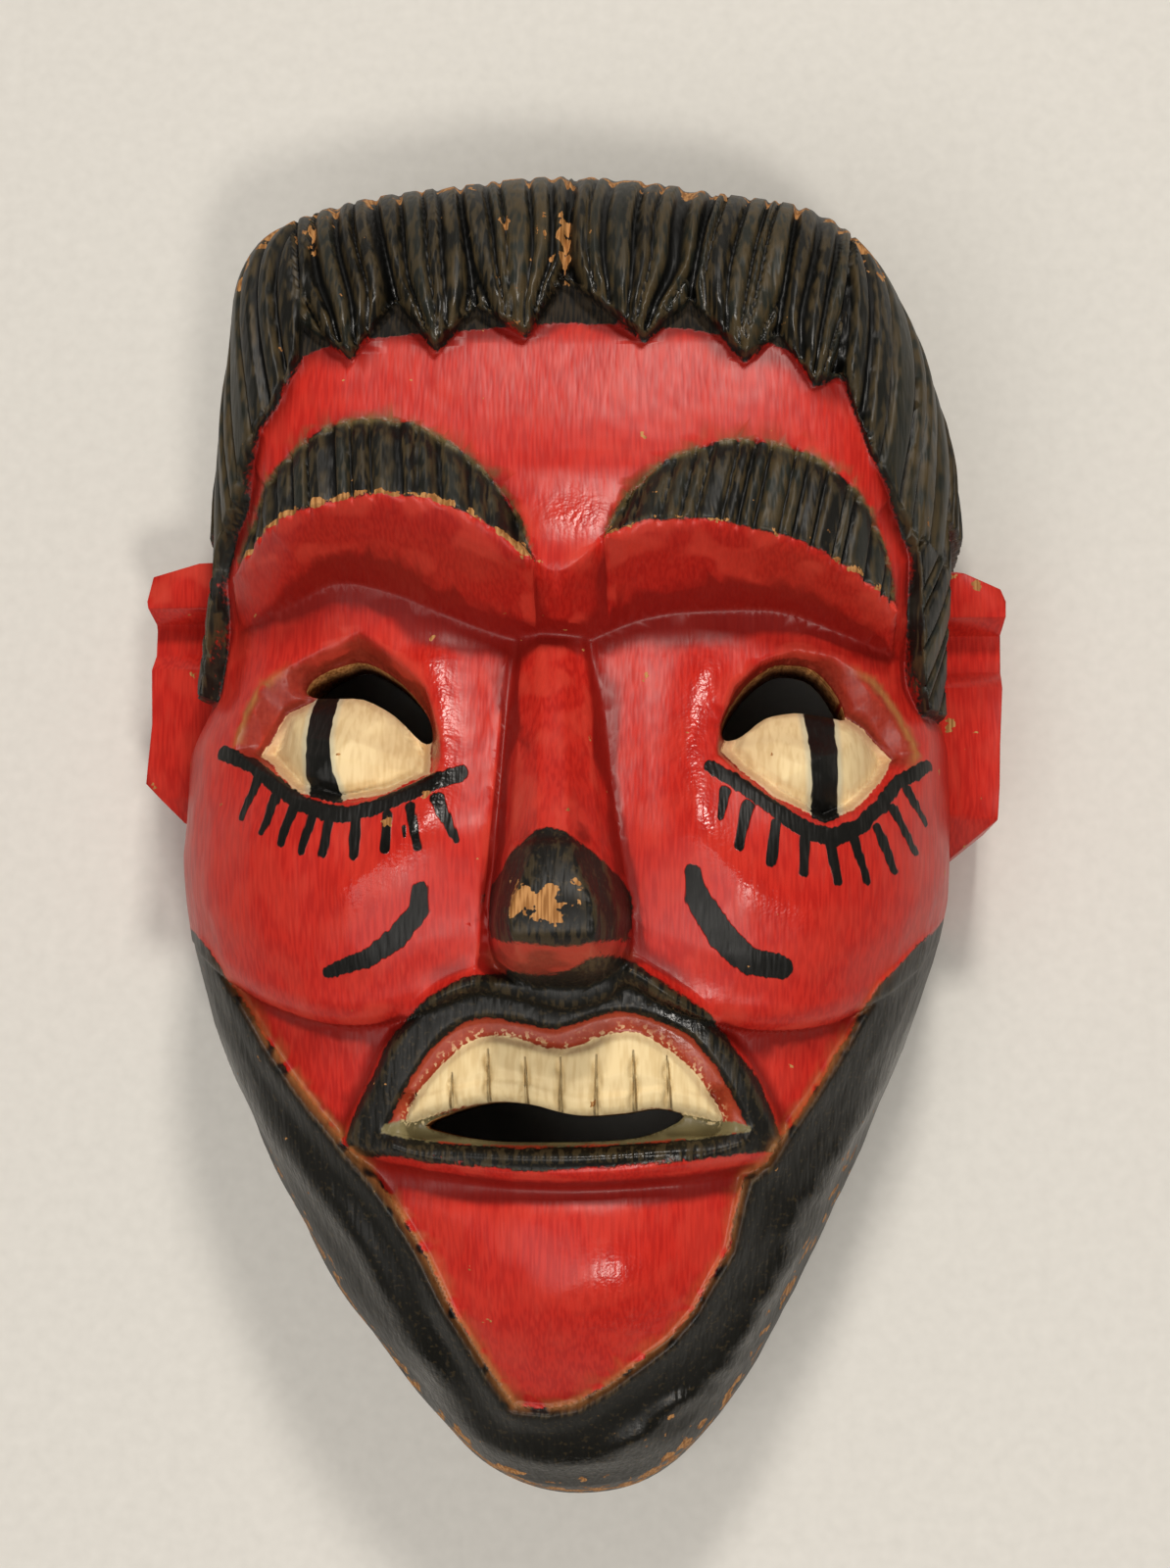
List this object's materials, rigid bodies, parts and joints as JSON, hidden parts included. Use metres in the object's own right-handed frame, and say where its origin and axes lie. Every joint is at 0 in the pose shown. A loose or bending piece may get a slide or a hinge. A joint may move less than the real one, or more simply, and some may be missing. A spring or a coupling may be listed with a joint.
{
  "type": "carved face mask",
  "caption": "Carved and painted wooden devil dance mask with a red face, black hair, brows, moustache and beard, slit eyes and bared teeth.",
  "frame": {"origin": "centre of the mask's bounding box, on the plane of its flat back rim", "axes": "+X to the viewer's right when looking at the face, +Y from the chin to the hair, +Z out of the face"},
  "size_m": [0.1816, 0.2737, 0.1131],
  "materials": {
    "painted_wood": "glossy oil paint, chipped to bare wood at the edges"
  },
  "bodies": {
    "root": {"mask": "painted_wood"}
  },
  "joints": []
}
